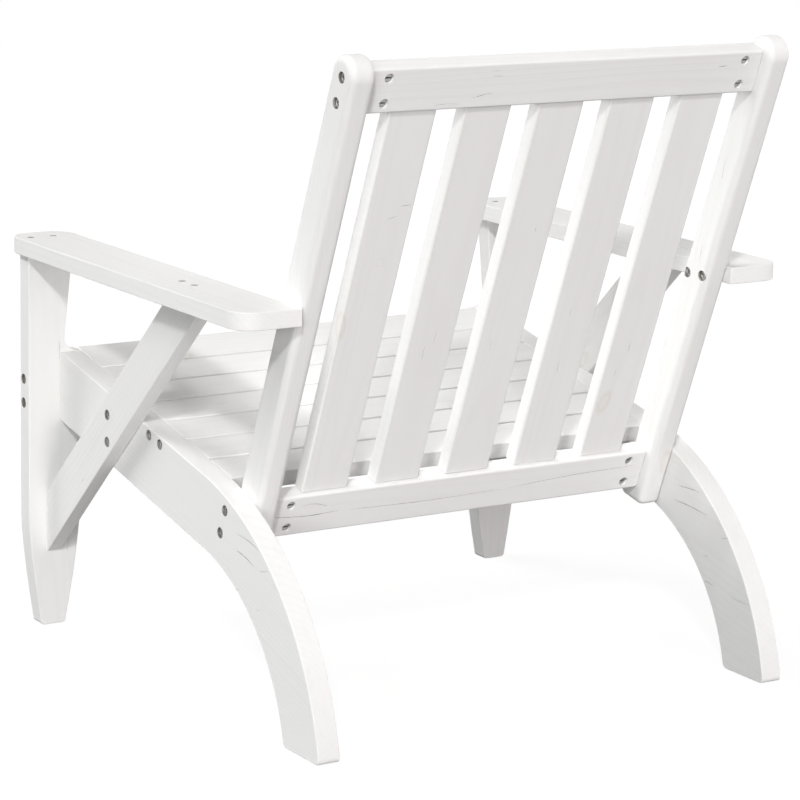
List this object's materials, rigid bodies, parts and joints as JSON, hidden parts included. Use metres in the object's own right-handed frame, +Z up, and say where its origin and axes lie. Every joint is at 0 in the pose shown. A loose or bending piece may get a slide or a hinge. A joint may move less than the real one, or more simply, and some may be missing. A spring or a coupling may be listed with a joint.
{
  "type": "adirondack chair",
  "caption": "Low reclined garden chair in painted softwood: slatted seat and back, flat arms, shaped front legs and side boards that bend down into the rear legs.",
  "frame": {"origin": "on the floor, at the middle of the footprint", "axes": "+Z up; the chair faces -Y; +X is the sitter's left"},
  "size_m": [0.7, 0.6282, 0.7233],
  "materials": {
    "painted_wood": "white paint over knotty pine, satin",
    "steel": "dull zinc-plated steel"
  },
  "bodies": {
    "root": {"side_board_left": "painted_wood", "side_board_right": "painted_wood", "front_leg_left": "painted_wood", "front_leg_right": "painted_wood", "arm_brace_left": "painted_wood", "arm_brace_right": "painted_wood", "armrest_left": "painted_wood", "armrest_right": "painted_wood", "back_post_left": "painted_wood", "back_post_right": "painted_wood", "seat_cleat_left": "painted_wood", "seat_cleat_right": "painted_wood", "back_rail_top": "painted_wood", "back_rail_lower": "painted_wood", "back_slat_1": "painted_wood", "back_slat_2": "painted_wood", "back_slat_3": "painted_wood", "back_slat_4": "painted_wood", "back_slat_5": "painted_wood", "seat_slat_front": "painted_wood", "seat_slat_1": "painted_wood", "seat_slat_2": "painted_wood", "seat_slat_3": "painted_wood", "seat_slat_4": "painted_wood", "seat_slat_5": "painted_wood", "seat_slat_6": "painted_wood", "front_apron": "painted_wood", "back_rail_top_bolt_left_upper": "steel", "back_rail_top_bolt_left_lower": "steel", "back_rail_top_nut_left_upper": "steel", "back_rail_top_nut_left_lower": "steel", "back_rail_lower_bolt_left_upper": "steel", "back_rail_lower_bolt_left_lower": "steel", "back_rail_lower_nut_left_upper": "steel", "back_rail_lower_nut_left_lower": "steel", "leg_bolt_left_upper": "steel", "leg_bolt_left_lower": "steel", "brace_bolt_left_lower": "steel", "brace_bolt_left_upper": "steel", "seat_bolt_left_front": "steel", "seat_bolt_left_rear": "steel", "arm_bolt_left_front": "steel", "arm_bolt_left_rear": "steel", "back_rail_top_bolt_right_upper": "steel", "back_rail_top_bolt_right_lower": "steel", "back_rail_top_nut_right_upper": "steel", "back_rail_top_nut_right_lower": "steel", "back_rail_lower_bolt_right_upper": "steel", "back_rail_lower_bolt_right_lower": "steel", "back_rail_lower_nut_right_upper": "steel", "back_rail_lower_nut_right_lower": "steel", "leg_bolt_right_upper": "steel", "leg_bolt_right_lower": "steel", "brace_bolt_right_lower": "steel", "brace_bolt_right_upper": "steel", "seat_bolt_right_front": "steel", "seat_bolt_right_rear": "steel", "arm_bolt_right_front": "steel", "arm_bolt_right_rear": "steel"}
  },
  "joints": []
}
